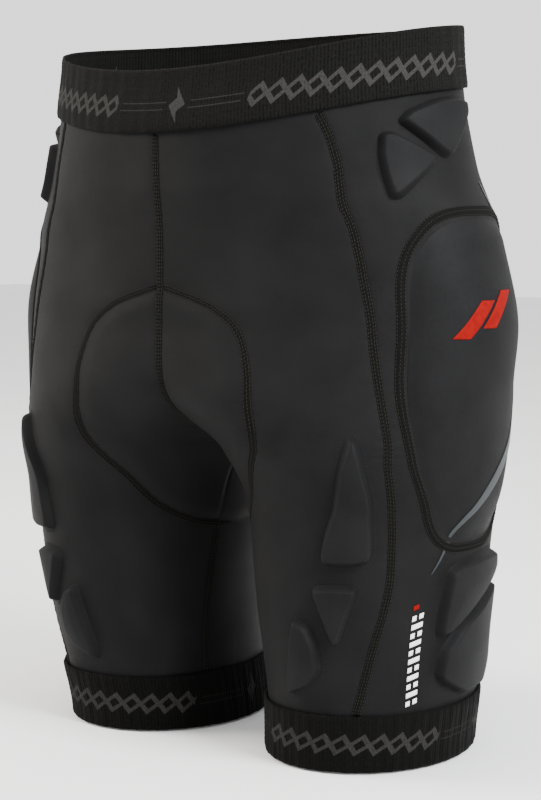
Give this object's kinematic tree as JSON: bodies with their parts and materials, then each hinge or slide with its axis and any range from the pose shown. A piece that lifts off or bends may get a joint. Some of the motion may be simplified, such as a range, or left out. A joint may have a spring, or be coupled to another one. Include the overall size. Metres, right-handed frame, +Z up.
{
  "type": "padded impact shorts",
  "caption": "Close-fitting stretch shorts with elastic waistband and cuffs, domed hip pads, a seat pad and moulded foam pads on the thighs, hips and tailbone.",
  "frame": {"origin": "middle of the waist opening, level with the waistband's top edge at the two sides", "axes": "+Z up the body, front of the wearer towards -Y, wearer's left towards +X"},
  "size_m": [0.3902, 0.2416, 0.485],
  "materials": {
    "body_fabric": "matt dark charcoal stretch knit",
    "pad_fabric": "matt dark charcoal knit laminated to foam",
    "seat_pad_fabric": "brushed charcoal fleece over foam",
    "elastic_rib": "ribbed woven elastic with a paler grey woven pattern",
    "seam_thread": "dark flat overlocked thread",
    "foam": "closed-cell foam",
    "reflective_print": "smooth pale grey reflective film",
    "red_print": "satin red transfer print",
    "white_print": "satin white transfer print",
    "silicone": "soft dark silicone"
  },
  "bodies": {
    "pelvis": {"waistband": "elastic_rib", "centre_front_seam": "seam_thread", "centre_back_seam": "seam_thread", "seat_pad": "seat_pad_fabric", "tailbone_pad_upper": "pad_fabric", "tailbone_pad_lower": "pad_fabric", "left_front_panel": "body_fabric", "left_side_panel": "body_fabric", "left_back_panel": "body_fabric", "left_side_front_seam": "seam_thread", "left_side_rear_seam": "seam_thread", "left_inseam": "seam_thread", "left_seat_pad_seam": "seam_thread", "left_hip_cover": "pad_fabric", "left_hip_foam": "foam", "left_hip_seam": "seam_thread", "left_hip_emblem": "red_print", "left_reflective_stripe": "reflective_print", "left_iliac_pad_front": "pad_fabric", "left_iliac_pad_side": "pad_fabric", "right_front_panel": "body_fabric", "right_side_panel": "body_fabric", "right_back_panel": "body_fabric", "right_side_front_seam": "seam_thread", "right_side_rear_seam": "seam_thread", "right_inseam": "seam_thread", "right_seat_pad_seam": "seam_thread", "right_hip_cover": "pad_fabric", "right_hip_foam": "foam", "right_hip_seam": "seam_thread", "right_hip_emblem": "red_print", "right_reflective_stripe": "reflective_print", "right_iliac_pad_front": "pad_fabric", "right_iliac_pad_side": "pad_fabric"},
    "left_leg": {"left_thigh_pad_tall": "pad_fabric", "left_thigh_pad_point": "pad_fabric", "left_thigh_pad_corner": "pad_fabric", "left_outer_pad_upper": "pad_fabric", "left_outer_pad_lower": "pad_fabric", "left_cuff": "elastic_rib", "left_cuff_gripper": "silicone", "left_thigh_print": "white_print"},
    "right_leg": {"right_thigh_pad_tall": "pad_fabric", "right_thigh_pad_point": "pad_fabric", "right_thigh_pad_corner": "pad_fabric", "right_outer_pad_upper": "pad_fabric", "right_outer_pad_lower": "pad_fabric", "right_cuff": "elastic_rib", "right_cuff_gripper": "silicone", "right_thigh_print": "white_print"}
  },
  "joints": [
    {"name": "left_hip_flex", "type": "hinge", "parent": "pelvis", "child": "left_leg", "pos_m": [0.085, 0, -0.174], "axis": [-1, 0, 0], "range_deg": [-15, 45], "deforming": ["left_front_panel", "left_side_panel", "left_back_panel", "left_side_front_seam", "left_side_rear_seam", "left_inseam", "left_seat_pad_seam", "left_hip_cover", "left_hip_foam", "left_hip_seam", "left_reflective_stripe", "left_hip_emblem", "seat_pad"]},
    {"name": "right_hip_flex", "type": "hinge", "parent": "pelvis", "child": "right_leg", "pos_m": [-0.085, 0, -0.174], "axis": [-1, 0, 0], "range_deg": [-15, 45], "deforming": ["right_front_panel", "right_side_panel", "right_back_panel", "right_side_front_seam", "right_side_rear_seam", "right_inseam", "right_seat_pad_seam", "right_hip_cover", "right_hip_foam", "right_hip_seam", "right_reflective_stripe", "right_hip_emblem"]}
  ]
}
